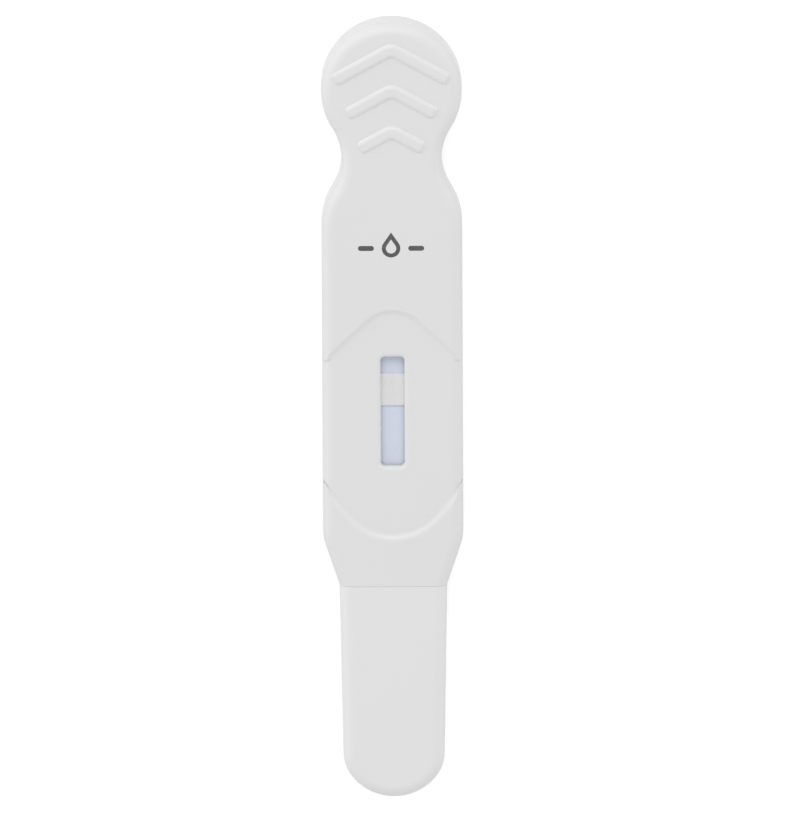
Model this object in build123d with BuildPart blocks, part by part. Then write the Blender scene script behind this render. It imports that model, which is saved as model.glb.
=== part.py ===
from build123d import *
from math import asin, atan, cos, degrees, radians, sin, sqrt, tan
import os

# A lateral flow cassette of the stick type, in millimetres. It lies on its flat back: +Y runs up
# the stick to the round thumb grip, +X is to the right with the window facing up, +Z is up, and
# the origin is under the middle of the whole stick.

# Driving sizes of the whole stick
stick_length = 134.0
stick_width = 23.8
face_height = 7.8
parting_height = 3.6
wall = 1.2
face_edge_round = 2.0
back_edge_chamfer = 0.7
parting_chamfer = 0.12

# Thumb grip, neck and shoulders
grip_radius = 11.9
grip_to_shoulder = 23.5
neck_radius = 9.9

# Taper down to the cap
cap_length = 36.8
taper_length = 8.2
taper_blend_radius = 8.6
seam_half_width = 9.12

# Cap: a hollow form whose sides draw in towards its round tip
cap_draft = 1.03
cap_wall = 1.2
cap_tip_radius = 9.1
cap_corner_radius = 6.5
cap_mouth_chamfer = 0.06
seam_gap = 0.03
fit_gap = 0.2
grip_rib_height = 0.1
grip_rib_width = 1.0
grip_rib_length = 6.0
grip_rib_spacing = 8.0

# Spigot that carries the cap
spigot_length = 9.0
spigot_wall = 0.9
spigot_end_wall = 1.0
spigot_end_chamfer = 0.3
spigot_edge_ease = 0.5

# Window and the rim under it
window_from_seam = 30.15
window_width = 4.0
window_length = 18.9
window_corner_radius = 0.7
window_edge_round = 0.65
window_edge_stages = 3
window_rim = 0.8

# Recessed middle field between two curved steps
field_depth = 0.4
upper_step_run = 1.15
upper_step_foot = 0.7
upper_step_side = 8.85
upper_step_apex = 16.68
upper_step_angle = 43.0
upper_apex_radius = 5.6
upper_flare_radius = 4.0
lower_step_run = 1.4
lower_step_foot = 0.5
lower_step_apex = 20.98
lower_step_angle = 49.8
lower_apex_radius = 9.3

# Chevron ribs on the thumb grip
chevron_angle = 28.7
chevron_width = 2.3
chevron_flank = ((0.0, 0.0), (0.26, 0.25), (0.4, 0.6))
chevron_pitch = 7.05
chevron_first = 8.75
chevron_half_spans = (10.3, 8.1, 6.0)
chevron_apex_round = 2.4
chevron_inner_round = 1.0
chevron_end_round = 0.8
chevron_root = 0.4

# Lip that joins the shells
lip_height = 0.8
lip_thickness = 0.55
lip_gap = 0.08
lip_from_seam = 3.0

# Locating pins and sockets
pin_radius = 0.75
pin_gap = 0.05
pin_length = 1.8
boss_radius = 1.5
boss_side = 8.2
boss_pitch = 21.6
boss_rows = 3
boss_from_window = 4.65
grip_boss_circle = 7.5
grip_boss_count = 3

# Test strip
strip_width = 5.0
strip_above_window = 30.2
strip_below_window = 19.95
card_base = 4.9
card_thickness = 0.3
membrane_thickness = 0.2
reaction_pad_length = 5.6
reaction_pad_thickness = 0.35
reaction_pad_from_window = 3.55
absorbent_pad_thickness = 0.75
absorbent_pad_gap = 2.0
sample_pad_thickness = 0.6
sample_pad_gap = 4.0
sample_pad_on_wick = 7.0
sample_rib_from_end = 1.5

# Wick
wick_width = 9.0
wick_thickness = 2.4
wick_reach = 26.0
wick_gap = 0.3
wick_corner_radius = 2.5
wick_edge_chamfer = 0.3

# Cradle, channel and ribs inside the shells
rib_thickness = 0.8
side_gap = 0.15
cradle_above_strip = 0.1
cradle_rib_pitch = 6.0
wick_rib_pitch = 4.0
wick_rib_from_end = 1.5
spine_height = 1.6
socket_floor = 0.4
press_rib_pitch = 6.0

# Overruns that carry a cut or a rounded edge past the face it ends at
overrun = 4.0
weld = 0.1

# Heights and places that follow from the driving sizes
field_height = face_height - field_depth
face_ceiling = face_height - wall
field_ceiling = field_height - wall
card_top = card_base + card_thickness
membrane_top = card_top + membrane_thickness
reaction_pad_top = membrane_top + reaction_pad_thickness
absorbent_pad_top = membrane_top + absorbent_pad_thickness
sample_pad_top = membrane_top + sample_pad_thickness
wick_base = membrane_top - wick_thickness
rim_base = reaction_pad_top + pin_gap
cradle_top = membrane_top + cradle_above_strip

half_width = stick_width / 2
tip_y = -stick_length / 2
grip_y = stick_length / 2 - grip_radius
shoulder_y = grip_y - grip_to_shoulder
seam_y = tip_y + cap_length
taper_y = seam_y + taper_length
inner_front_y = seam_y + wall
window_y = seam_y + window_from_seam
strip_top_y = window_y + strip_above_window
strip_low_y = window_y - strip_below_window
wick_back_y = strip_low_y - wick_gap
wick_tip_y = seam_y - wick_reach
spigot_end_y = seam_y - spigot_length
spigot_inset = cap_wall + fit_gap
upper_apex_y = window_y + upper_step_apex
lower_apex_y = window_y - lower_step_apex
boss_middle_y = window_y + boss_from_window
cradle_inner = strip_width / 2 + side_gap
channel_inner = wick_width / 2 + side_gap
chevron_first_y = grip_y + chevron_first
absorbent_pad_low_y = window_y + window_length / 2 + absorbent_pad_gap
absorbent_pad_middle_y = (absorbent_pad_low_y + strip_top_y) / 2
sample_pad_top_y = window_y - window_length / 2 - sample_pad_gap
sample_pad_low_y = strip_low_y - sample_pad_on_wick


def block(x_size, y_from, y_to, z_from, z_to, x_middle=0.0, mode=Mode.ADD):
    """Square-edged block between two places along the stick."""
    middle = (x_middle, (y_from + y_to) / 2, (z_from + z_to) / 2)
    with Locations(middle):
        return Box(x_size, abs(y_to - y_from), abs(z_to - z_from), mode=mode)


def housing_plan(inset, front_y):
    """Outline of the housing, drawn in by an inset and cut straight at its front."""
    grip_reach = grip_radius + neck_radius
    shoulder_reach = half_width + neck_radius
    neck_drop = (grip_to_shoulder**2 + grip_reach**2 - shoulder_reach**2) / (2 * grip_to_shoulder)
    neck_x = sqrt(grip_reach**2 - neck_drop**2)
    neck_y = grip_y - neck_drop
    grip_angle = degrees(asin(neck_drop / grip_reach))
    shoulder_angle = degrees(asin((neck_y - shoulder_y) / shoulder_reach))
    taper_angle = atan((half_width - seam_half_width) / taper_length)
    corner_y = taper_y + inset * tan(taper_angle / 2)
    side_x = half_width - inset
    front_x = side_x - (corner_y - front_y) * tan(taper_angle)
    with BuildSketch() as plan:
        with BuildLine():
            CenterArc((0, grip_y), grip_radius - inset, 90, -90 - grip_angle)
            CenterArc((neck_x, neck_y), neck_radius + inset, 180 - grip_angle, grip_angle + shoulder_angle)
            CenterArc((0, shoulder_y), side_x, shoulder_angle, -shoulder_angle)
            FilletPolyline(
                (side_x, shoulder_y),
                (side_x, corner_y),
                (front_x, front_y),
                radius=taper_blend_radius - inset,
            )
            Line((front_x, front_y), (0, front_y))
            mirror(about=Plane.YZ)
        make_face()
    return plan.sketch


def cap_plan(inset):
    """Outline of the cap with its side draft and round tip, run on past the seam."""
    tip_radius = cap_tip_radius - inset
    corner_radius = cap_corner_radius - inset
    draft = radians(cap_draft)
    down = Vector(-sin(draft), -cos(draft))
    outward = Vector(cos(draft), -sin(draft))
    side_start = Vector(seam_half_width, seam_y)
    tip_centre = Vector(0, tip_y + cap_tip_radius)
    from_tip = side_start - outward * cap_corner_radius - tip_centre
    along = from_tip.dot(down)
    reach = cap_tip_radius - cap_corner_radius
    travel = sqrt(along**2 - from_tip.dot(from_tip) + reach**2) - along
    corner_centre = tip_centre + from_tip + down * travel
    lean = (corner_centre - tip_centre) * (1 / reach)
    tip_angle = degrees(asin(-lean.Y))
    mouth = side_start - outward * inset - down * (overrun / cos(draft))
    with BuildSketch() as plan:
        with BuildLine():
            Line((0, mouth.Y), (mouth.X, mouth.Y))
            Line((mouth.X, mouth.Y), corner_centre + outward * corner_radius)
            CenterArc(corner_centre, corner_radius, -cap_draft, cap_draft - tip_angle)
            CenterArc(tip_centre, tip_radius, -tip_angle, tip_angle - 90)
            mirror(about=Plane.YZ)
        make_face()
    return plan.sketch


def cap_form(inset, face_round=0.0, back_chamfer=0.0):
    """Solid form of the cap, drawn in all round by an inset. The spigot is part of the same form."""
    with BuildPart() as form:
        with BuildSketch(Plane.XY.offset(inset)):
            add(cap_plan(inset))
        extrude(amount=face_height - 2 * inset)
        if face_round > 0:
            mouth_edges = form.faces().sort_by(Axis.Y)[-1].edges()
            face_edges = form.faces().sort_by(Axis.Z)[-1].edges()
            fillet([edge for edge in face_edges if edge not in mouth_edges], radius=face_round)
        if back_chamfer > 0:
            mouth_edges = form.faces().sort_by(Axis.Y)[-1].edges()
            back_edges = form.faces().sort_by(Axis.Z)[0].edges()
            chamfer([edge for edge in back_edges if edge not in mouth_edges], length=back_chamfer)
    return form.part


def step_line(apex, side, angle, apex_radius, flare_radius):
    """Foot line of a curved step, seen from the window's middle with its apex towards +Y."""
    slope = tan(radians(angle))
    sharp_y = apex + apex_radius * (1 / cos(radians(angle)) - 1)
    side_x = half_width + overrun
    with BuildLine() as line:
        if flare_radius > 0:
            flare_x = (sharp_y - side) / slope
            FilletPolyline(
                (-side_x, side),
                (-flare_x, side),
                (0, sharp_y),
                (flare_x, side),
                (side_x, side),
                radius=(flare_radius, apex_radius, flare_radius),
            )
        else:
            side_y = sharp_y - side_x * slope
            FilletPolyline((-side_x, side_y), (0, sharp_y), (side_x, side_y), radius=apex_radius)
    return line.line


def field_cut(foot_line, run, foot_share):
    """Half of the recessed field, with a softly curved wall that rises from the foot line."""
    start = foot_line @ 0
    end = foot_line @ 1
    ahead = foot_line % 0
    bend = (run * foot_share, field_height + field_depth * foot_share)
    with BuildPart() as cut:
        with BuildSketch(Plane.XY.offset(parting_height - overrun)):
            with BuildLine():
                add(foot_line)
                Polyline((end.X, end.Y), (end.X, 0), (start.X, 0), (start.X, start.Y))
            make_face()
        extrude(amount=face_height + overrun)
        with BuildSketch(Plane(origin=start, x_dir=Vector(-ahead.Y, ahead.X, 0), z_dir=ahead)):
            with BuildLine():
                low_curve = TangentArc((0, field_height), bend, tangent=(1, 0))
                TangentArc(bend, (run, face_height), tangent=low_curve % 1)
                Polyline(
                    (run, face_height),
                    (run, face_height + overrun),
                    (-weld, face_height + overrun),
                    (-weld, field_height),
                    (0, field_height),
                )
            make_face()
        sweep(path=foot_line)
    return cut.part


def shell_body(top):
    """Top half of the housing as a solid with its rounded edge, up to a given height."""
    with BuildPart() as body:
        with BuildSketch(Plane.XY.offset(parting_height)):
            add(housing_plan(0, seam_y - overrun))
        extrude(amount=top - parting_height)
        front_edges = body.faces().sort_by(Axis.Y)[0].edges()
        face_edges = body.faces().sort_by(Axis.Z)[-1].edges()
        fillet([edge for edge in face_edges if edge not in front_edges], radius=face_edge_round)
        front_edges = body.faces().sort_by(Axis.Y)[0].edges()
        parting_edges = body.faces().sort_by(Axis.Z)[0].edges()
        chamfer([edge for edge in parting_edges if edge not in front_edges], length=parting_chamfer)
    return body.part


def boss_places():
    """Centres of the locating bosses: rows beside the strip and a ring in the thumb grip."""
    places = []
    for row in range(boss_rows):
        row_y = boss_middle_y + boss_pitch * (row - (boss_rows - 1) / 2)
        places += [(-boss_side, row_y), (boss_side, row_y)]
    for index in range(grip_boss_count):
        angle = radians(90 + index * 360 / grip_boss_count)
        places.append((grip_boss_circle * cos(angle), grip_y + grip_boss_circle * sin(angle)))
    return places


def hexagonal_post(radius, low, high, mode=Mode.ADD):
    """Six-sided post at every boss place, between two heights."""
    with BuildSketch(Plane.XY.offset(low)) as section:
        with Locations(*boss_places()):
            RegularPolygon(radius, side_count=6)
    extrude(to_extrude=section.sketch, amount=high - low, mode=mode)


def window_plan(margin):
    """Outline of the window, grown all round by a margin."""
    with BuildSketch() as plan:
        with Locations((0, window_y)):
            RectangleRounded(
                window_width + 2 * margin,
                window_length + 2 * margin,
                window_corner_radius + margin,
            )
    return plan.sketch


def chevron_plan(half_span, apex_y, inset):
    """Outline of a chevron rib, drawn in by an inset."""
    angle = radians(chevron_angle)
    width = chevron_width - 2 * inset
    top_y = apex_y - inset / cos(angle)
    drop = width / cos(angle)
    outer_x = half_span - inset * (cos(angle) + sin(angle))
    inner_x = outer_x - width * sin(angle)
    with BuildSketch() as plan:
        with BuildLine():
            Polyline(
                (0, top_y),
                (outer_x, top_y - outer_x * tan(angle)),
                (inner_x, top_y - drop - inner_x * tan(angle)),
                (0, top_y - drop),
            )
            mirror(about=Plane.YZ)
        make_face()
        arm_ends = plan.vertices().filter_by(lambda vertex: abs(vertex.X) > weld)
        fillet(arm_ends, radius=chevron_end_round - inset)
        fillet(plan.vertices().sort_by(Axis.Y)[-1], radius=chevron_apex_round - inset)
        inner_apex = plan.vertices().filter_by(lambda vertex: abs(vertex.X) < weld)
        fillet(inner_apex, radius=chevron_inner_round + inset)
    return plan.sketch


def chevron(half_span, apex_y):
    """Raised rib with sloped flanks, its arms falling away on both sides of the apex."""
    with BuildPart() as rib:
        with BuildSketch(Plane.XY.offset(face_height - chevron_root)):
            add(chevron_plan(half_span, apex_y, 0))
        extrude(amount=chevron_root)
        for (low, low_inset), (high, high_inset) in zip(chevron_flank, chevron_flank[1:]):
            with BuildSketch(Plane.XY.offset(face_height + low)):
                add(chevron_plan(half_span, apex_y, low_inset))
            with BuildSketch(Plane.XY.offset(face_height + high)):
                add(chevron_plan(half_span, apex_y, high_inset))
            loft(ruled=True)
    return rib.part


def press_rib(width, middle_y, base):
    """Cross rib under the ceiling that holds a pad down."""
    block(width, middle_y - rib_thickness / 2, middle_y + rib_thickness / 2, base, face_ceiling + weld)


# Forms that both shells and the cap share
with BuildPart() as spigot:
    add(cap_form(spigot_inset, spigot_edge_ease, spigot_edge_ease))
    for cut_y, far_y in (
        (spigot_end_y, spigot_end_y - stick_length),
        (inner_front_y, inner_front_y + stick_length),
    ):
        block(2 * stick_width, cut_y, far_y, -wall, face_height, mode=Mode.SUBTRACT)
    chamfer(spigot.faces().sort_by(Axis.Y)[0].edges(), length=spigot_end_chamfer)

with BuildPart() as spigot_hollow:
    add(cap_form(spigot_inset + spigot_wall))
    hollow_end_y = spigot_end_y + spigot_end_wall
    far_y = hollow_end_y - stick_length
    block(2 * stick_width, hollow_end_y, far_y, -wall, face_height, mode=Mode.SUBTRACT)
    slot_width = wick_width + 2 * side_gap
    block(slot_width, spigot_end_y - overrun, hollow_end_y + weld, wick_base, membrane_top + pin_gap)


# Upper shell
with BuildPart() as upper_shell:
    # Face with its middle field recessed between the two curved steps
    add(shell_body(face_height))
    upper_line = step_line(
        upper_step_apex, upper_step_side, upper_step_angle, upper_apex_radius, upper_flare_radius
    )
    lower_line = step_line(lower_step_apex, 0, lower_step_angle, lower_apex_radius, 0)
    with Locations((0, window_y)):
        add(field_cut(upper_line, upper_step_run, upper_step_foot), mode=Mode.SUBTRACT)
    with Locations(Location((0, window_y, 0), (0, 0, 180))):
        add(field_cut(lower_line, lower_step_run, lower_step_foot), mode=Mode.SUBTRACT)
    add(shell_body(field_height))
    block(2 * stick_width, seam_y, seam_y - stick_length, -wall, 2 * face_height, mode=Mode.SUBTRACT)

    # Hollow inside, deeper under the raised ends
    with BuildSketch(Plane.XY.offset(parting_height)):
        add(housing_plan(wall, inner_front_y))
    extrude(amount=field_ceiling - parting_height, mode=Mode.SUBTRACT)
    for low_y, high_y in (
        (upper_apex_y + upper_step_run + wall, grip_y + grip_radius),
        (seam_y, lower_apex_y - lower_step_run - wall),
    ):
        with BuildSketch(Plane.XY.offset(parting_height)):
            add(housing_plan(wall, inner_front_y))
            with Locations((0, (low_y + high_y) / 2)):
                Rectangle(stick_width, high_y - low_y, mode=Mode.INTERSECT)
        extrude(amount=face_ceiling - parting_height, mode=Mode.SUBTRACT)

    # Step for the lower shell's lip
    with BuildSketch(Plane.XY.offset(parting_height)):
        add(housing_plan(wall - lip_thickness - lip_gap, seam_y + lip_from_seam - lip_gap))
    extrude(amount=lip_height + lip_gap, mode=Mode.SUBTRACT)

    # Upper half of the spigot
    add(split(spigot.part, bisect_by=Plane.XY.offset(parting_height), keep=Keep.TOP, mode=Mode.PRIVATE))
    add(spigot_hollow.part, mode=Mode.SUBTRACT)

    # Locating pins on their bosses
    hexagonal_post(boss_radius, parting_height, face_ceiling + weld)
    hexagonal_post(pin_radius, parting_height - pin_length, parting_height + weld)

    # Ribs that press on the absorbent pad and on the sample pad
    for index in (-1, 0, 1):
        press_rib(strip_width, absorbent_pad_middle_y + index * press_rib_pitch, absorbent_pad_top)
    for index in (0, 1):
        rib_y = sample_pad_low_y + sample_rib_from_end + index * press_rib_pitch
        press_rib(strip_width, rib_y, sample_pad_top)

    # Window with a rim that closes on the strip, and a softly rounded edge
    with BuildSketch(Plane.XY.offset(rim_base)):
        add(window_plan(window_rim))
    extrude(amount=field_ceiling - rim_base + weld)
    with BuildSketch(Plane.XY.offset(rim_base - weld)):
        add(window_plan(0))
    extrude(amount=face_height, mode=Mode.SUBTRACT)
    for stage in range(window_edge_stages):
        low_turn = radians(90 * stage / window_edge_stages)
        high_turn = radians(90 * (stage + 1) / window_edge_stages)
        for turn in (low_turn, high_turn):
            with BuildSketch(Plane.XY.offset(field_height - window_edge_round * (1 - sin(turn)))):
                add(window_plan(window_edge_round * (1 - cos(turn))))
        loft(ruled=True, mode=Mode.SUBTRACT)

    # Chevron ribs on the thumb grip
    for index, half_span in enumerate(chevron_half_spans):
        add(chevron(half_span, chevron_first_y - index * chevron_pitch))
upper_shell.part.label = "upper_shell"


# Lower shell
with BuildPart() as lower_shell:
    # Flat back with a chamfered edge
    with BuildSketch():
        add(housing_plan(0, seam_y - overrun))
    extrude(amount=parting_height)
    front_edges = lower_shell.faces().sort_by(Axis.Y)[0].edges()
    back_edges = lower_shell.faces().sort_by(Axis.Z)[0].edges()
    chamfer([edge for edge in back_edges if edge not in front_edges], length=back_edge_chamfer)
    front_edges = lower_shell.faces().sort_by(Axis.Y)[0].edges()
    parting_edges = lower_shell.faces().sort_by(Axis.Z)[-1].edges()
    chamfer([edge for edge in parting_edges if edge not in front_edges], length=parting_chamfer)
    block(2 * stick_width, seam_y, seam_y - stick_length, -wall, face_height, mode=Mode.SUBTRACT)

    # Hollow inside
    with BuildSketch(Plane.XY.offset(wall)):
        add(housing_plan(wall, inner_front_y))
    extrude(amount=face_height, mode=Mode.SUBTRACT)

    # Lip round the rim, open at the front
    with BuildSketch(Plane.XY.offset(parting_height)):
        add(housing_plan(wall - lip_thickness, seam_y + lip_from_seam))
        add(housing_plan(wall, seam_y), mode=Mode.SUBTRACT)
    extrude(amount=lip_height)

    # Lower half of the spigot
    add(split(spigot.part, bisect_by=Plane.XY.offset(parting_height), keep=Keep.BOTTOM, mode=Mode.PRIVATE))
    add(spigot_hollow.part, mode=Mode.SUBTRACT)

    # Sockets for the locating pins
    hexagonal_post(boss_radius, wall - weld, parting_height)
    hexagonal_post(pin_radius + pin_gap, wall + socket_floor, parting_height + weld, mode=Mode.SUBTRACT)

    # Cradle for the strip: side rails, an end stop and cross ribs under the card
    rail_x = cradle_inner + rib_thickness / 2
    stop_y = strip_top_y + side_gap
    stop_end_y = stop_y + rib_thickness
    for side in (-1, 1):
        block(rib_thickness, strip_low_y, stop_end_y, wall - weld, cradle_top, x_middle=side * rail_x)
    block(2 * rail_x, stop_y, stop_end_y, wall - weld, cradle_top)
    rib_y = strip_low_y
    while rib_y + rib_thickness < strip_top_y:
        block(2 * rail_x, rib_y, rib_y + rib_thickness, wall - weld, card_base)
        rib_y += cradle_rib_pitch

    # Channel for the wick: side rails, a back stop and cross ribs under it
    channel_x = channel_inner + rib_thickness / 2
    channel_end_y = strip_low_y + rib_thickness
    for side in (-1, 1):
        rail_middle = side * channel_x
        block(rib_thickness, inner_front_y, channel_end_y, wall - weld, card_base, x_middle=rail_middle)
    block(2 * channel_x, strip_low_y, channel_end_y, wall - weld, card_base)
    rib_y = wick_back_y - wick_rib_from_end
    while rib_y - rib_thickness > inner_front_y:
        block(2 * channel_x, rib_y - rib_thickness, rib_y, wall - weld, wick_base)
        rib_y -= wick_rib_pitch

    # Stiffening spine from the cradle into the thumb grip
    spine_end_y = grip_y + grip_boss_circle - boss_radius + weld
    block(rib_thickness, stop_end_y - weld, spine_end_y, wall - weld, wall + spine_height)
lower_shell.part.label = "lower_shell"


# Cap
with BuildPart() as cap_hollow:
    add(cap_form(cap_wall))
    for x_side in (-1, 1):
        for z_low in (0, parting_height):
            block(
                grip_rib_width,
                seam_y + overrun,
                seam_y - grip_rib_length,
                z_low,
                z_low + face_height - parting_height,
                x_middle=x_side * grip_rib_spacing / 2,
                mode=Mode.SUBTRACT,
            )
    add(cap_form(cap_wall + grip_rib_height))

with BuildPart() as cap:
    add(cap_form(0, face_edge_round, back_edge_chamfer))
    mouth_y = seam_y - seam_gap
    block(2 * stick_width, mouth_y, seam_y + stick_length, -wall, 2 * face_height, mode=Mode.SUBTRACT)
    chamfer(cap.faces().sort_by(Axis.Y)[-1].edges(), length=cap_mouth_chamfer)
    add(cap_hollow.part, mode=Mode.SUBTRACT)
cap.part.label = "cap"


# Wick
with BuildPart() as wick:
    with BuildSketch(Plane.XY.offset(wick_base)) as wick_plan:
        with Locations((0, (wick_back_y + wick_tip_y) / 2)):
            Rectangle(wick_width, wick_back_y - wick_tip_y)
        fillet(wick_plan.vertices().group_by(Axis.Y)[0], radius=wick_corner_radius)
    extrude(amount=wick_thickness)
    back_edges = wick.faces().sort_by(Axis.Y)[-1].edges()
    for end_face in (wick.faces().sort_by(Axis.Z)[0], wick.faces().sort_by(Axis.Z)[-1]):
        chamfer([edge for edge in end_face.edges() if edge not in back_edges], length=wick_edge_chamfer)
wick.part.label = "wick"


# Strip layers
with BuildPart() as strip_backing:
    block(strip_width, strip_low_y, strip_top_y, card_base, card_top)
strip_backing.part.label = "strip_backing"

with BuildPart() as transfer_membrane:
    block(strip_width, strip_low_y, strip_top_y, card_top, membrane_top)
transfer_membrane.part.label = "transfer_membrane"

with BuildPart() as reaction_pad:
    pad_y = window_y + reaction_pad_from_window
    pad_half = reaction_pad_length / 2
    block(strip_width, pad_y - pad_half, pad_y + pad_half, membrane_top, reaction_pad_top)
reaction_pad.part.label = "reaction_pad"

with BuildPart() as absorbent_pad:
    block(strip_width, absorbent_pad_low_y, strip_top_y, membrane_top, absorbent_pad_top)
absorbent_pad.part.label = "absorbent_pad"

with BuildPart() as sample_pad:
    block(strip_width, sample_pad_low_y, sample_pad_top_y, membrane_top, sample_pad_top)
sample_pad.part.label = "sample_pad"


os.makedirs("parts", exist_ok=True)
for piece in (
    upper_shell,
    lower_shell,
    cap,
    wick,
    strip_backing,
    transfer_membrane,
    reaction_pad,
    absorbent_pad,
    sample_pad,
):
    export_step(piece.part, f"parts/{piece.part.label}.step")
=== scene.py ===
"""Looks of a stick-type lateral flow cassette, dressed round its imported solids.

The stick lies on its flat back on a pale floor and is seen from above, with the thumb grip at the
top of the picture. Lengths in the classes below are in millimetres unless their name ends in _m.
"""

import logging
import math
from dataclasses import dataclass
from enum import Enum
from typing import Any, Iterable, Mapping, Optional, Sequence, Union

import bmesh
import bpy
from mathutils import Matrix, Vector, noise


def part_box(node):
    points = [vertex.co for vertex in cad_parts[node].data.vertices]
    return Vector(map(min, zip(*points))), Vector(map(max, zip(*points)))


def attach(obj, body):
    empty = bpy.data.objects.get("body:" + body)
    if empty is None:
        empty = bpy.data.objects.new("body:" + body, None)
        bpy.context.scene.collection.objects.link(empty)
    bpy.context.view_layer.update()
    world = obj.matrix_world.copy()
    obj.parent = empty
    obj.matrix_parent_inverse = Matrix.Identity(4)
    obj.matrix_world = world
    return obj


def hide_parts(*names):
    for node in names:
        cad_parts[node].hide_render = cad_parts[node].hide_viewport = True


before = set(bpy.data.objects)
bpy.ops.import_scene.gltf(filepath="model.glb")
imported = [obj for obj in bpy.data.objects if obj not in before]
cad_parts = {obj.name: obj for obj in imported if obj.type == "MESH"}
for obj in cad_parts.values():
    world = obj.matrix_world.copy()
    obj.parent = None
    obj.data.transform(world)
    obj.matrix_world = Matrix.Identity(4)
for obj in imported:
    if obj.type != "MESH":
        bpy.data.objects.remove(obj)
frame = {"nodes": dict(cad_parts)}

LOG = logging.getLogger("cassette")
MM = 0.001
NOISE_MIDDLE = 0.5
WHITE = (1.0, 1.0, 1.0)

Colour = tuple[float, float, float]
Point = tuple[float, float]


class Body(Enum):
    """Body of the model that the built pieces ride on."""

    HOUSING = "housing"


class Solid(Enum):
    """Solids of the model that are dressed or stood for here."""

    UPPER_SHELL = "upper_shell"
    LOWER_SHELL = "lower_shell"
    CAP = "cap"
    WICK = "wick"
    BACKING = "strip_backing"
    MEMBRANE = "transfer_membrane"
    REACTION_PAD = "reaction_pad"
    ABSORBENT_PAD = "absorbent_pad"
    SAMPLE_PAD = "sample_pad"


class Slot(Enum):
    """Material slots of the record."""

    SHELL = "shell_plastic"
    CAP = "cap_plastic"
    WICK = "wick_fibre"
    MEMBRANE = "membrane"
    REACTION = "reaction_paper"
    PAD = "pad_fibre"
    CARD = "card"


def from_display(grey: float, green: Optional[float] = None, blue: Optional[float] = None) -> Colour:
    """Turns display levels into a linear colour.

    Args:
        grey: Level from 0 to 255, for red or for all three.
        green: Level of green, where it differs.
        blue: Level of blue, where it differs.

    Returns:
        The linear colour.
    """
    levels = (grey, grey if green is None else green, grey if blue is None else blue)

    def linear(level: float) -> float:
        share = level / 255
        return share / 12.92 if share <= 0.04045 else ((share + 0.055) / 1.055) ** 2.4

    return tuple(linear(level) for level in levels)


def rgba(colour: Colour) -> tuple[float, float, float, float]:
    """The colour with full opacity."""
    return (*colour, 1.0)


# Shader expressions


class Value:
    """A number on a shader socket. Arithmetic on it adds Math nodes."""

    def __init__(self, net: "ShaderNet", socket: bpy.types.NodeSocket) -> None:
        """Keeps the net and the socket.

        Args:
            net: Net that the socket's node is in.
            socket: Output socket that carries the number.
        """
        self.net = net
        self.socket = socket

    def __add__(self, other: "Number") -> "Value":
        """Sum."""
        return self.net.math("ADD", self, other)

    def __radd__(self, other: "Number") -> "Value":
        """Sum, reflected."""
        return self.net.math("ADD", other, self)

    def __sub__(self, other: "Number") -> "Value":
        """Difference."""
        return self.net.math("SUBTRACT", self, other)

    def __rsub__(self, other: "Number") -> "Value":
        """Difference, reflected."""
        return self.net.math("SUBTRACT", other, self)

    def __mul__(self, other: "Number") -> "Value":
        """Product."""
        return self.net.math("MULTIPLY", self, other)

    def __rmul__(self, other: "Number") -> "Value":
        """Product, reflected."""
        return self.net.math("MULTIPLY", other, self)

    def clamped(self) -> "Value":
        """The number kept between 0 and 1."""
        return self.net.math("MINIMUM", self.net.math("MAXIMUM", self, 0.0), 1.0)

    def wave(self) -> "Value":
        """Sine of the number."""
        return self.net.math("SINE", self)


Number = Union[float, Value]


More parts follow.
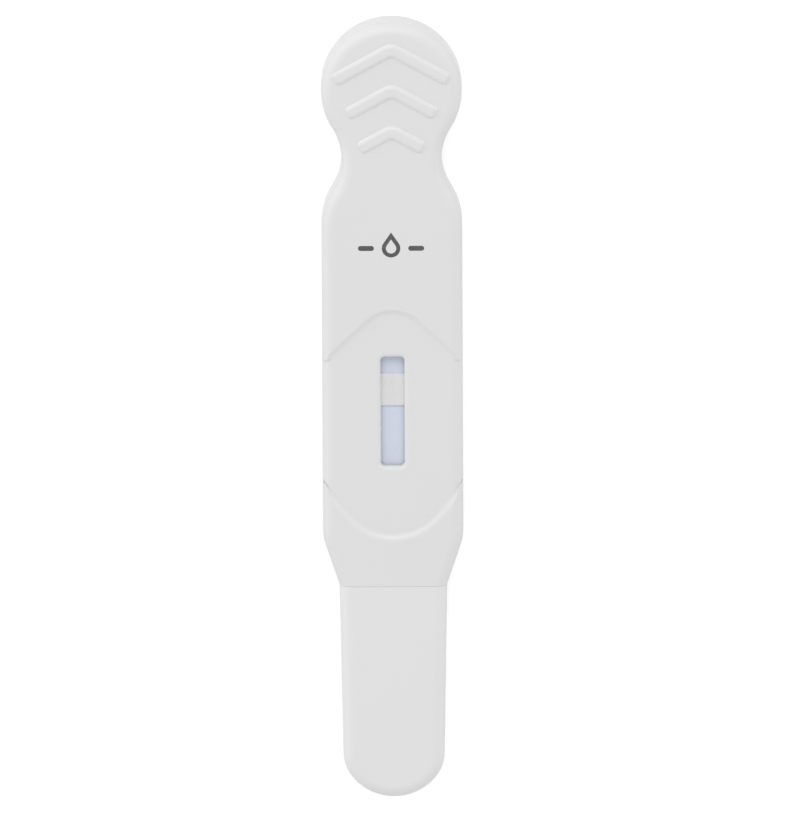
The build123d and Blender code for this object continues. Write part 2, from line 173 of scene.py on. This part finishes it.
class ShaderNet:
    """Builds one node tree."""

    def __init__(self, tree: bpy.types.NodeTree) -> None:
        """Empties the tree.

        Args:
            tree: Node tree of a material or the world.
        """
        self.tree = tree
        tree.nodes.clear()

    def node(
        self,
        kind: str,
        settings: Optional[Mapping[str, Any]] = None,
        inputs: Optional[Mapping[Union[str, int], Any]] = None,
    ) -> bpy.types.Node:
        """Adds a node, with its settings first and its sockets after them.

        Args:
            kind: Node type.
            settings: Settings by name.
            inputs: Socket values or links, by socket name or number.

        Returns:
            The node.
        """
        made = self.tree.nodes.new(kind)
        for name, setting in (settings or {}).items():
            setattr(made, name, setting)
        for key, value in (inputs or {}).items():
            socket = made.inputs[key]
            source = value.socket if isinstance(value, Value) else value
            if isinstance(source, bpy.types.NodeSocket):
                self.tree.links.new(source, socket)
            else:
                socket.default_value = source
        return made

    def math(self, operation: str, first: Number, second: Number = 0.0) -> Value:
        """Adds a Math node.

        Args:
            operation: Its operation.
            first: First number.
            second: Second number.

        Returns:
            The result.
        """
        made = self.node("ShaderNodeMath", {"operation": operation}, {0: first, 1: second})
        return Value(self, made.outputs[0])

    def place(self, scale: Sequence[float] = (1.0, 1.0, 1.0), turn: float = 0.0) -> bpy.types.NodeSocket:
        """Coordinates on the object.

        Args:
            scale: Repeats per millimetre along each axis.
            turn: Turn about the upright axis, in radians.

        Returns:
            The vector socket.
        """
        source = self.node("ShaderNodeTexCoord").outputs["Object"]
        if turn:
            turned = self.node(
                "ShaderNodeVectorRotate",
                {"rotation_type": "Z_AXIS"},
                {"Vector": source, "Angle": turn},
            )
            source = turned.outputs["Vector"]
        scaled = self.node(
            "ShaderNodeVectorMath",
            {"operation": "MULTIPLY"},
            {0: source, 1: tuple(part / MM for part in scale)},
        )
        return scaled.outputs["Vector"]

    def noise(
        self,
        scale: Sequence[float],
        detail: float = 2.0,
        roughness: float = 0.5,
        distortion: float = 0.0,
        turn: float = 0.0,
    ) -> Value:
        """Noise over the object, around 0.5.

        Args:
            scale: Repeats per millimetre along each axis.
            detail: Octaves.
            roughness: Share of the finer octaves.
            distortion: How far the noise bends.
            turn: Turn about the upright axis, in radians.

        Returns:
            The noise.
        """
        made = self.node(
            "ShaderNodeTexNoise",
            {"noise_dimensions": "3D"},
            {
                "Vector": self.place(scale, turn),
                "Scale": 1.0,
                "Detail": detail,
                "Roughness": roughness,
                "Distortion": distortion,
            },
        )
        return Value(self, made.outputs["Fac"])

    def axis(self, name: str) -> Value:
        """One coordinate of the object, in millimetres.

        Args:
            name: X, Y or Z.

        Returns:
            The coordinate.
        """
        parts = self.node("ShaderNodeSeparateXYZ", None, {0: self.place()})
        return Value(self, parts.outputs[name])

    def mix(self, share: Number, first: Any, second: Any) -> bpy.types.NodeSocket:
        """Mixes two colours.

        Args:
            share: Share of the second one.
            first: Colour or colour socket at 0.
            second: Colour or colour socket at 1.

        Returns:
            The colour socket.
        """
        made = self.node(
            "ShaderNodeMix",
            {"data_type": "RGBA", "blend_type": "MIX", "clamp_factor": True},
            {"Factor": share},
        )
        for socket, value in zip([s for s in made.inputs if s.type == "RGBA"], (first, second)):
            if isinstance(value, bpy.types.NodeSocket):
                self.tree.links.new(value, socket)
            else:
                socket.default_value = rgba(value)
        return next(s for s in made.outputs if s.type == "RGBA")

    def bump(
        self,
        height: Value,
        depth: float,
        under: Optional[bpy.types.NodeSocket] = None,
    ) -> bpy.types.NodeSocket:
        """Relief in the surface's normal.

        Args:
            height: Height from 0 to 1.
            depth: Depth of a full height, in millimetres.
            under: Normal that the relief is laid on.

        Returns:
            The normal socket.
        """
        inputs = {"Height": height, "Distance": depth * MM, "Strength": 1.0}
        if under is not None:
            inputs["Normal"] = under
        return self.node("ShaderNodeBump", None, inputs).outputs["Normal"]

    def surface(self, **inputs: Any) -> bpy.types.NodeSocket:
        """Principled shader.

        Args:
            **inputs: Socket values or links, with an underscore for each space.

        Returns:
            The shader socket.
        """
        named = {name.replace("_", " "): value for name, value in inputs.items()}
        return self.node("ShaderNodeBsdfPrincipled", None, named).outputs["BSDF"]

    def output(self, kind: str, shader: bpy.types.NodeSocket) -> None:
        """Ends the tree.

        Args:
            kind: Type of the output node.
            shader: Shader that it shows.
        """
        self.node(kind, None, {"Surface": shader})


def new_material(name: str) -> tuple[bpy.types.Material, ShaderNet]:
    """Makes an empty node material.

    Args:
        name: Its name.

    Returns:
        The material and its net.
    """
    made = bpy.data.materials.new(name)
    made.use_nodes = True
    return made, ShaderNet(made.node_tree)


# Finishes


@dataclass(frozen=True)
class MouldedPlastic:
    """White satin plastic as it leaves the mould, with a very fine grain."""

    name: str
    light: Colour
    dark: Colour
    drift_scale: float = 0.06
    grain_scale: float = 3.2
    grain_depth: float = 0.004
    flow_scale: float = 0.35
    flow_stretch: float = 0.4
    flow_depth: float = 0.012
    roughness: float = 0.4
    roughness_swing: float = 0.1
    ior: float = 1.49

    def material(self) -> bpy.types.Material:
        """Makes the material.

        Returns:
            The material.
        """
        made, net = new_material(self.name)
        drift = net.noise((self.drift_scale,) * 3, detail=3.0)
        grain = net.noise((self.grain_scale,) * 3, detail=2.0)
        along = self.flow_scale * self.flow_stretch
        flow = net.noise((self.flow_scale, along, self.flow_scale), detail=1.0)
        normal = net.bump(flow, self.flow_depth)
        normal = net.bump(grain, self.grain_depth, under=normal)
        shader = net.surface(
            Base_Color=net.mix(drift, self.light, self.dark),
            Roughness=self.roughness + self.roughness_swing * (grain - NOISE_MIDDLE),
            IOR=self.ior,
            Normal=normal,
        )
        net.output("ShaderNodeOutputMaterial", shader)
        return made


@dataclass(frozen=True)
class CoatedCard:
    """White plastic card with a dull film of glue."""

    name: str
    light: Colour
    dark: Colour
    cloud_scale: float = 0.5
    cloud_depth: float = 0.01
    roughness: float = 0.6
    roughness_swing: float = 0.1

    def material(self) -> bpy.types.Material:
        """Makes the material.

        Returns:
            The material.
        """
        made, net = new_material(self.name)
        cloud = net.noise((self.cloud_scale,) * 3, detail=4.0)
        shader = net.surface(
            Base_Color=net.mix(cloud, self.light, self.dark),
            Roughness=self.roughness + self.roughness_swing * (cloud - NOISE_MIDDLE),
            Normal=net.bump(cloud, self.cloud_depth),
        )
        net.output("ShaderNodeOutputMaterial", shader)
        return made


@dataclass(frozen=True)
class WovenMembrane:
    """Thin porous sheet, tinted, with a fine even weave and soft clouds of tint."""

    name: str
    tint: Colour
    pale: Colour
    deep: Colour
    thread_pitch: float = 0.34
    thread_depth: float = 0.02
    thread_swing: float = 0.25
    thread_share: float = 0.7
    wobble_scale: float = 0.7
    wobble: float = 1.6
    cloud_scale: float = 0.45
    fluff_scale: float = 5.0
    tint_share: float = 0.35
    tint_by_weave: float = 0.5
    tint_by_fluff: float = 0.4
    roughness: float = 0.85
    roughness_swing: float = 0.1
    gloss: float = 0.25

    def material(self) -> bpy.types.Material:
        """Makes the material.

        Returns:
            The material.
        """
        made, net = new_material(self.name)
        wobble = net.noise((self.wobble_scale,) * 3, detail=2.0) * self.wobble
        turns = 2 * math.pi / self.thread_pitch
        across = (net.axis("X") * turns + wobble).wave()
        along = (net.axis("Y") * turns + wobble).wave()
        weave = NOISE_MIDDLE + self.thread_swing * across + self.thread_swing * along
        clouds = net.noise((self.cloud_scale,) * 3, detail=4.0, roughness=0.6)
        fluff = net.noise((self.fluff_scale,) * 3, detail=3.0)
        by_weave = self.tint_by_weave * (weave - NOISE_MIDDLE)
        by_fluff = self.tint_by_fluff * (fluff - NOISE_MIDDLE)
        tinted = (self.tint_share + by_weave + by_fluff).clamped()
        relief = weave * self.thread_share + fluff * (1 - self.thread_share)
        shader = net.surface(
            Base_Color=net.mix(tinted, net.mix(clouds, self.pale, self.deep), self.tint),
            Roughness=self.roughness + self.roughness_swing * (fluff - NOISE_MIDDLE),
            Specular_IOR_Level=self.gloss,
            Normal=net.bump(relief, self.thread_depth),
        )
        net.output("ShaderNodeOutputMaterial", shader)
        return made


@dataclass(frozen=True)
class FibrePaper:
    """Felted fibres: short hairs that lie every way, or mostly along the piece."""

    name: str
    light: Colour
    dark: Colour
    fibre_width: float = 0.06
    fibre_length: float = 0.9
    lay_angles: tuple[float, ...] = (0.4, 1.45, 2.5)
    depth: float = 0.04
    hair_floor: float = 0.4
    hair_contrast: float = 2.6
    felt_share: float = 0.75
    cloud_scale: float = 0.5
    roughness: float = 0.9
    roughness_swing: float = 0.06
    gloss: float = 0.2

    def material(self) -> bpy.types.Material:
        """Makes the material.

        Returns:
            The material.
        """
        made, net = new_material(self.name)
        along, across = 1 / self.fibre_length, 1 / (2 * self.fibre_width)
        hairs = [
            net.noise(
                (along, across, across),
                detail=2.0,
                roughness=0.6,
                distortion=0.4,
                turn=angle,
            )
            for angle in self.lay_angles
        ]
        felt = hairs[0]
        for hair in hairs[1:]:
            felt = net.math("MAXIMUM", felt, hair)
        felt = ((felt - self.hair_floor) * self.hair_contrast).clamped()
        clouds = net.noise((self.cloud_scale,) * 3, detail=3.0)
        pale = (self.felt_share * felt + (1 - self.felt_share) * clouds).clamped()
        shader = net.surface(
            Base_Color=net.mix(pale, self.dark, self.light),
            Roughness=self.roughness + self.roughness_swing * (felt - NOISE_MIDDLE),
            Specular_IOR_Level=self.gloss,
            Normal=net.bump(felt, self.depth),
        )
        net.output("ShaderNodeOutputMaterial", shader)
        return made


@dataclass(frozen=True)
class PadInk:
    """Dark grey ink, pad-printed a little unevenly on the plastic."""

    name: str
    full: Colour
    thin: Colour
    mottle_scale: float = 1.6
    mottle_floor: float = 0.35
    mottle_contrast: float = 2.2
    mottle_depth: float = 0.006
    roughness: float = 0.5
    roughness_swing: float = 0.1

    def material(self) -> bpy.types.Material:
        """Makes the material.

        Returns:
            The material.
        """
        made, net = new_material(self.name)
        mottle = net.noise((self.mottle_scale,) * 3, detail=4.0, roughness=0.65)
        worn = ((mottle - self.mottle_floor) * self.mottle_contrast).clamped()
        shader = net.surface(
            Base_Color=net.mix(worn, self.full, self.thin),
            Roughness=self.roughness + self.roughness_swing * (mottle - NOISE_MIDDLE),
            Normal=net.bump(mottle, self.mottle_depth),
        )
        net.output("ShaderNodeOutputMaterial", shader)
        return made


Finish = Union[MouldedPlastic, CoatedCard, WovenMembrane, FibrePaper, PadInk]


# Meshes


def to_object(name: str, mesh: bmesh.types.BMesh, finish: bpy.types.Material) -> bpy.types.Object:
    """Turns a working mesh in millimetres into an object in metres.

    Args:
        name: Name of the object.
        mesh: The working mesh, which is freed.
        finish: Its material.

    Returns:
        The object, linked to the scene.
    """
    bmesh.ops.recalc_face_normals(mesh, faces=mesh.faces)
    bmesh.ops.scale(mesh, vec=(MM, MM, MM), verts=mesh.verts)
    data = bpy.data.meshes.new(name)
    mesh.to_mesh(data)
    mesh.free()
    data.materials.append(finish)
    made = bpy.data.objects.new(name, data)
    bpy.context.scene.collection.objects.link(made)
    return made


def shade_smooth(piece: bpy.types.Object) -> None:
    """Shades a piece's faces smoothly."""
    for face in piece.data.polygons:
        face.use_smooth = True


def stations(low: float, high: float, ease: float, cell: float, ease_steps: int = 4) -> list[float]:
    """Places along a length, closer together where the ends are rounded.

    Args:
        low: Lowest place.
        high: Highest place.
        ease: Length of the rounding at each end.
        cell: Spacing in between.
        ease_steps: Places in each rounding.

    Returns:
        The places, in order.
    """
    steps = [1 - math.cos(math.pi / 2 * step / ease_steps) for step in range(ease_steps)]
    count = max(2, round((high - low - 2 * ease) / cell))
    middle = [low + ease + (high - low - 2 * ease) * step / count for step in range(count + 1)]
    return [low + ease * s for s in steps] + middle + [high - ease * s for s in reversed(steps)]


@dataclass
class SoftLayer:
    """A soft layer of the strip, or the wick, in the box of its solid.

    It is a closed slab with eased edges. Its surface sinks a little between its fibres.

    Attributes:
        solid: Solid that it replaces.
        slot: Its material slot; not used.
        finish: Its finish.
        edge_ease: Rounding of its edges.
        tip_corner: Radius of the corners at its lower end.
        sink: How deep the surface sinks between the fibres.
        sink_across: Spacing of the sunken places across.
        sink_along: Spacing of the sunken places along.
        cell: Spacing of its points.
        seed: Where in the noise its surface is taken from.
        ease_limit: Largest rounding, as a share of the thickness.
        side_step: Distance in the noise from the middle to either side's surface.
        fine_step: How much finer the second octave is.
        fine_share: Share of the second octave.
        body: Body that it rides on.
    """

    solid: Solid
    slot: Slot
    finish: Finish
    edge_ease: float
    tip_corner: float = 0.0
    sink: float = 0.02
    sink_across: float = 0.5
    sink_along: float = 0.5
    cell: float = 0.35
    seed: float = 0.0
    ease_limit: float = 0.45
    side_step: float = 7.0
    fine_step: float = 2.7
    fine_share: float = 0.25
    body: Body = Body.HOUSING

    def half_width(self, y: float, low_y: float, half: float) -> float:
        """Half of the layer's width at a place along it.

        Args:
            y: The place.
            low_y: Where the layer's lower end is.
            half: Half of its full width.

        Returns:
            The half width there, less where the end's corners are round.
        """
        reach = y - low_y
        if self.tip_corner <= 0 or reach >= self.tip_corner:
            return half
        corner = self.tip_corner
        return half - corner + math.sqrt(max(corner**2 - (corner - reach) ** 2, 0.0))

    @staticmethod
    def fall(distance: float, ease: float) -> float:
        """How far the surface has fallen near an edge.

        Args:
            distance: Distance to the edge.
            ease: Rounding of the edge.

        Returns:
            The fall, 0 past the rounding.
        """
        if distance >= ease:
            return 0.0
        return ease - math.sqrt(max(ease**2 - (ease - distance) ** 2, 0.0))

    def surface_depth(self, x: float, y: float, distance: float, ease: float, side: float) -> float:
        """Depth of the surface under the face of the solid's box.

        Args:
            x: Place across.
            y: Place along.
            distance: Distance to the nearest edge.
            ease: Rounding of the edge.
            side: 1 on the face, -1 on the back.

        Returns:
            The depth.
        """
        level = self.seed + self.side_step * side
        where = Vector((x / self.sink_across, y / self.sink_along, level))
        fine = self.fine_share * noise.noise(where * self.fine_step)
        fibres = NOISE_MIDDLE + NOISE_MIDDLE * noise.noise(where) + fine
        return self.fall(distance, ease) + self.sink * min(max(fibres, 0.0), 1.0)

    def build(self) -> bpy.types.Object:
        """Builds the layer in place of its solid.

        Returns:
            The piece.
        """
        low, high = (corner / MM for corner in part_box(self.solid.value))
        middle_x, half = (low.x + high.x) / 2, (high.x - low.x) / 2
        ease = min(self.edge_ease, (high.z - low.z) * self.ease_limit)
        rows = stations(low.y, high.y, ease, self.cell)
        if self.tip_corner > 0:
            corner_rows = stations(low.y, low.y + self.tip_corner, ease, self.cell)
            rows = sorted(set(corner_rows + [row for row in rows if row > low.y + self.tip_corner]))
        columns = stations(-half, half, ease, self.cell)
        mesh = bmesh.new()
        sheets = []
        for side in (1.0, -1.0):
            sheet = []
            for y in rows:
                width = self.half_width(y, low.y, half)
                line = []
                for column in columns:
                    x = column * width / half
                    gap = min(width - abs(x), y - low.y, high.y - y)
                    depth = self.surface_depth(x, y, max(gap, 0.0), ease, side)
                    z = high.z - depth if side > 0 else low.z + depth
                    line.append(mesh.verts.new((middle_x + x, y, z)))
                sheet.append(line)
            sheets.append(sheet)
            for near, far in zip(sheet, sheet[1:]):
                for a, b, c, d in zip(near, near[1:], far[1:], far):
                    mesh.faces.new((a, b, c, d))
        rims = [self._rim(sheet) for sheet in sheets]
        for index, (top, bottom) in enumerate(zip(*rims)):
            after = (index + 1) % len(rims[0])
            mesh.faces.new((top, bottom, rims[1][after], rims[0][after]))
        piece = to_object(f"{self.solid.value}_soft", mesh, self.finish.material())
        shade_smooth(piece)
        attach(piece, self.body.value)
        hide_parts(self.solid.value)
        return piece

    @staticmethod
    def _rim(sheet: list[list[bmesh.types.BMVert]]) -> list[bmesh.types.BMVert]:
        """Corner points round a sheet, in order.

        Args:
            sheet: Rows of points.

        Returns:
            The points of its edge.
        """
        right = [line[-1] for line in sheet[1:-1]]
        left = [line[0] for line in reversed(sheet[1:-1])]
        return sheet[0] + right + list(reversed(sheet[-1])) + left


@dataclass
class DropMark:
    """Printed mark on the face: a plain drop between two short bars."""

    centre: Point = (-0.15, 28.9)
    height: float = 4.3
    stroke: float = 0.85
    bar_length: float = 2.7
    bar_reach: float = 5.6
    drop_sharpness: float = 1.75
    drop_wall: float = 0.68
    film: float = 0.02
    face_z: float = 7.8
    finish: Finish = PadInk("mark_ink", full=from_display(74), thin=from_display(96))

    def drop_outline(self, radius: float, count: int = 64) -> list[Point]:
        """Outline of a drop with its tip up.

        Args:
            radius: Radius of its round part, which is centred on the origin.
            count: Points of the round part.

        Returns:
            The outline.
        """
        lean = math.asin(1 / self.drop_sharpness)
        start, end = math.pi - lean, 2 * math.pi + lean
        angles = [start + (end - start) * step / (count - 1) for step in range(count)]
        tip = (0.0, radius * self.drop_sharpness)
        return [(radius * math.cos(a), radius * math.sin(a)) for a in angles] + [tip]

    def bar_outline(self, middle: Point, count: int = 12) -> list[Point]:
        """Outline of a bar with round ends.

        Args:
            middle: Its middle.
            count: Points of each end.

        Returns:
            The outline.
        """
        radius = self.stroke / 2
        reach = self.bar_length / 2 - radius
        outline = []
        for side, first in ((1, -90), (-1, 90)):
            for step in range(count):
                angle = math.radians(first + 180 * step / (count - 1))
                x = middle[0] + side * reach + radius * math.cos(angle)
                outline.append((x, middle[1] + radius * math.sin(angle)))
        return outline

    def prism(
        self,
        mesh: bmesh.types.BMesh,
        outer: Sequence[Point],
        inner: Optional[Sequence[Point]] = None,
    ) -> None:
        """Adds a thin closed film of ink.

        Args:
            mesh: Mesh that it is added to.
            outer: Outline.
            inner: Outline of its opening, with as many points.
        """
        levels = (self.face_z - self.film / 2, self.face_z + self.film / 2)
        left, foot = self.centre

        def ring(outline: Sequence[Point], z: float) -> list[bmesh.types.BMVert]:
            return [mesh.verts.new((left + x, foot + y, z)) for x, y in outline]

        def bridge(first: Sequence[Any], second: Sequence[Any]) -> None:
            for index in range(len(first)):
                after = (index + 1) % len(first)
                mesh.faces.new((first[index], first[after], second[after], second[index]))

        low, high = (ring(outer, z) for z in levels)
        bridge(low, high)
        if inner is None:
            mesh.faces.new(high)
            mesh.faces.new(low[::-1])
        else:
            low_inner, high_inner = (ring(inner, z) for z in levels)
            bridge(high_inner, low_inner)
            bridge(high, high_inner)
            bridge(low_inner, low)

    def build(self) -> bpy.types.Object:
        """Builds the mark on the face.

        Returns:
            The piece.
        """
        radius = self.height / (1 + self.drop_sharpness)
        lift = -self.height / 2 + radius
        mesh = bmesh.new()
        outer = [(x, y + lift) for x, y in self.drop_outline(radius)]
        inner = [(x, y + lift) for x, y in self.drop_outline(radius - self.drop_wall)]
        self.prism(mesh, outer, inner)
        for side in (-1, 1):
            middle = (side * (self.bar_reach - self.bar_length / 2), lift)
            self.prism(mesh, self.bar_outline(middle))
        piece = to_object("face_mark", mesh, self.finish.material())
        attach(piece, Body.HOUSING.value)
        return piece


# Sub-assemblies


@dataclass
class Mouldings:
    """The two shells and the cap, in white moulded plastic."""

    shell: MouldedPlastic = MouldedPlastic("shell_white", light=from_display(230), dark=from_display(227.5))
    # Painted light: the cap's white is a little lighter than the shell's white, so the cap shows as bright
    # as the raised head does under the lamps.
    cap: MouldedPlastic = MouldedPlastic("cap_white", light=from_display(233), dark=from_display(231))
    card: CoatedCard = CoatedCard("card_white", light=from_display(232), dark=from_display(224))

    def dress(self, nodes: Mapping[str, bpy.types.Object]) -> list[bpy.types.Object]:
        """Gives the rigid solids their finish.

        Args:
            nodes: Solids of the model by name.

        Returns:
            The dressed solids.
        """
        shell, cap, card = (finish.material() for finish in (self.shell, self.cap, self.card))
        dressed = []
        for solid, finish, slot in (
            (Solid.UPPER_SHELL, shell, Slot.SHELL),
            (Solid.LOWER_SHELL, shell, Slot.SHELL),
            (Solid.CAP, cap, Slot.CAP),
            (Solid.BACKING, card, Slot.CARD),
        ):
            node = nodes[solid.value]
            for place in node.material_slots:
                place.material = finish
            dressed.append(node)
        return dressed


def strip_layers() -> list[SoftLayer]:
    """The soft layers of the strip and the wick."""
    paper = dict(light=from_display(236), dark=from_display(214))
    return [
        SoftLayer(
            Solid.MEMBRANE,
            Slot.MEMBRANE,
            WovenMembrane(
                "membrane_blue",
                tint=from_display(224, 231, 247),
                pale=from_display(236, 241, 251),
                deep=from_display(221, 229, 247),
            ),
            edge_ease=0.05,
            sink=0.012,
            cell=0.3,
            seed=1.5,
        ),
        SoftLayer(
            Solid.REACTION_PAD,
            Slot.REACTION,
            FibrePaper(
                "reaction_paper",
                light=from_display(243),
                dark=from_display(232),
                fibre_length=0.7,
                depth=0.02,
            ),
            edge_ease=0.15,
            sink=0.03,
            cell=0.14,
            seed=3.5,
        ),
        SoftLayer(
            Solid.ABSORBENT_PAD,
            Slot.PAD,
            FibrePaper("absorbent_fibre", **paper),
            edge_ease=0.25,
            sink=0.06,
            cell=0.3,
            seed=5.5,
        ),
        SoftLayer(
            Solid.SAMPLE_PAD,
            Slot.PAD,
            FibrePaper("sample_fibre", **paper, fibre_length=1.3),
            edge_ease=0.15,
            sink=0.05,
            cell=0.3,
            seed=7.5,
        ),
        SoftLayer(
            Solid.WICK,
            Slot.WICK,
            FibrePaper(
                "wick_fibre",
                light=from_display(240),
                dark=from_display(216),
                fibre_width=0.09,
                fibre_length=3.0,
                lay_angles=(1.52, 1.6, 1.44),
                depth=0.05,
            ),
            edge_ease=0.45,
            tip_corner=2.5,
            sink=0.07,
            sink_across=0.35,
            sink_along=3.5,
            cell=0.3,
            seed=9.5,
        ),
    ]


# Stage, light and camera


@dataclass(frozen=True)
class Lamp:
    """Soft box that faces the stick. Its bearing is 0 at the grip's end and 90 on the right."""

    name: str
    bearing: float
    elevation: float
    power: float
    width_m: float = 2.2
    height_m: float = 0.6
    reach_m: float = 1.2

    def build(self) -> None:
        """Makes the lamp."""
        bearing, elevation = math.radians(self.bearing), math.radians(self.elevation)
        direction = Vector(
            (
                math.sin(bearing) * math.cos(elevation),
                math.cos(bearing) * math.cos(elevation),
                math.sin(elevation),
            )
        )
        lamp = bpy.data.lights.new(self.name, "AREA")
        lamp.shape = "RECTANGLE"
        lamp.size, lamp.size_y = self.width_m, self.height_m
        lamp.energy = self.power
        holder = bpy.data.objects.new(self.name, lamp)
        holder.location = direction * self.reach_m
        holder.rotation_mode = "QUATERNION"
        holder.rotation_quaternion = direction.to_track_quat("Z", "Y")
        bpy.context.scene.collection.objects.link(holder)


@dataclass
class Studio:
    """Pale floor, a white surround and soft light, most of it from the picture's top and left."""

    surround: float = 0.66
    lamps: tuple[Lamp, ...] = (
        Lamp("main_lamp", bearing=-5, elevation=46, power=3.7, width_m=1.1),
        Lamp("left_lamp", bearing=-68, elevation=15, power=4.6),
        Lamp("right_lamp", bearing=75, elevation=15, power=2.9),
        Lamp("foot_lamp", bearing=180, elevation=15, power=1.6),
    )
    floor_size_m: float = 6.0
    floor_light: Colour = from_display(212)
    floor_dark: Colour = from_display(209)
    floor_cloud_scale: float = 0.01
    floor_lift: float = 0.55

    def build(self) -> None:
        """Makes the world, the lamps and the floor."""
        self._make_world()
        for lamp in self.lamps:
            lamp.build()
        self._make_floor()

    @staticmethod
    def _seen_directly(net: ShaderNet) -> Value:
        """1 where the camera, a gloss or a clear body shows the background itself.

        Args:
            net: Net that the nodes are added to.

        Returns:
            The share, 0 or 1.
        """
        path = net.node("ShaderNodeLightPath")
        rays = ("Is Camera Ray", "Is Glossy Ray", "Is Transmission Ray")
        camera, gloss, clear = (Value(net, path.outputs[ray]) for ray in rays)
        return (camera + gloss + clear).clamped()

    def _make_world(self) -> None:
        """Even white surround."""
        world = bpy.data.worlds.new("surround")
        bpy.context.scene.world = world
        world.use_nodes = True
        net = ShaderNet(world.node_tree)
        lit, shown = (
            net.node("ShaderNodeBackground", None, {"Color": rgba(WHITE), "Strength": strength})
            for strength in (self.surround, 1.0)
        )
        mixed = net.node(
            "ShaderNodeMixShader",
            None,
            {0: self._seen_directly(net), 1: lit.outputs[0], 2: shown.outputs[0]},
        )
        net.output("ShaderNodeOutputWorld", mixed.outputs[0])

    def _make_floor(self) -> None:
        """Pale floor that shows white to the camera and keeps the object's shadow."""
        half = self.floor_size_m / MM / 2
        mesh = bmesh.new()
        signs = ((-1, -1), (1, -1), (1, 1), (-1, 1))
        mesh.faces.new([mesh.verts.new((x * half, y * half, 0)) for x, y in signs])
        finish, net = new_material("floor_white")
        tone = net.noise((self.floor_cloud_scale,) * 3, detail=2.0)
        colour = net.mix(tone, self.floor_light, self.floor_dark)
        matt = net.node("ShaderNodeBsdfDiffuse", None, {"Color": colour})
        glow = {"Color": rgba(WHITE), "Strength": self.floor_lift}
        lift = net.node("ShaderNodeEmission", None, glow)
        lifted = net.node("ShaderNodeAddShader", None, {0: matt.outputs[0], 1: lift.outputs[0]})
        mixed = net.node(
            "ShaderNodeMixShader",
            None,
            {0: self._seen_directly(net), 1: matt.outputs[0], 2: lifted.outputs[0]},
        )
        net.output("ShaderNodeOutputMaterial", mixed.outputs[0])
        to_object("floor", mesh, finish)


@dataclass
class Camera:
    """Long lens above the stick, leaning a little to the grip's end."""

    tilt: float = math.radians(12.0)
    roll: float = math.radians(0.2466)
    aim: tuple[float, float, float] = (1.24, -1.13, 3.9)
    frame_height: float = 140.2
    lens: float = 1200.0
    sensor: float = 36.0
    clip_m: tuple[float, float] = (0.05, 20.0)

    def build(self) -> bpy.types.Object:
        """Makes the camera and gives it to the scene.

        Returns:
            The camera.
        """
        back = Vector((0, math.sin(self.tilt), math.cos(self.tilt)))
        level_up = Vector((0, math.cos(self.tilt), -math.sin(self.tilt)))
        level_right = Vector((1, 0, 0))
        right = level_right * math.cos(self.roll) - level_up * math.sin(self.roll)
        up = level_up * math.cos(self.roll) + level_right * math.sin(self.roll)
        data = bpy.data.cameras.new("camera")
        data.lens = self.lens
        data.sensor_width = self.sensor
        data.clip_start, data.clip_end = self.clip_m
        holder = bpy.data.objects.new("camera", data)
        distance = self.frame_height * MM * self.lens / self.sensor
        place = Vector(self.aim) * MM + back * distance
        turn = Matrix((right, up, back)).transposed().to_4x4()
        holder.matrix_world = Matrix.Translation(place) @ turn
        bpy.context.scene.collection.objects.link(holder)
        bpy.context.scene.camera = holder
        return holder


def main() -> None:
    """Builds the looks in order and reports each piece."""
    logging.basicConfig(level=logging.INFO, format="%(name)s: %(message)s")
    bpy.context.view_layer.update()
    Camera().build()
    Studio().build()
    for solid in Mouldings().dress(frame["nodes"]):
        LOG.info("dressed %s", solid.name)
    for layer in strip_layers():
        LOG.info("built %s", layer.build().name)
    LOG.info("built %s", DropMark().build().name)
    bpy.context.scene.view_settings.view_transform = "Standard"


if __name__ == "__main__":
    main()
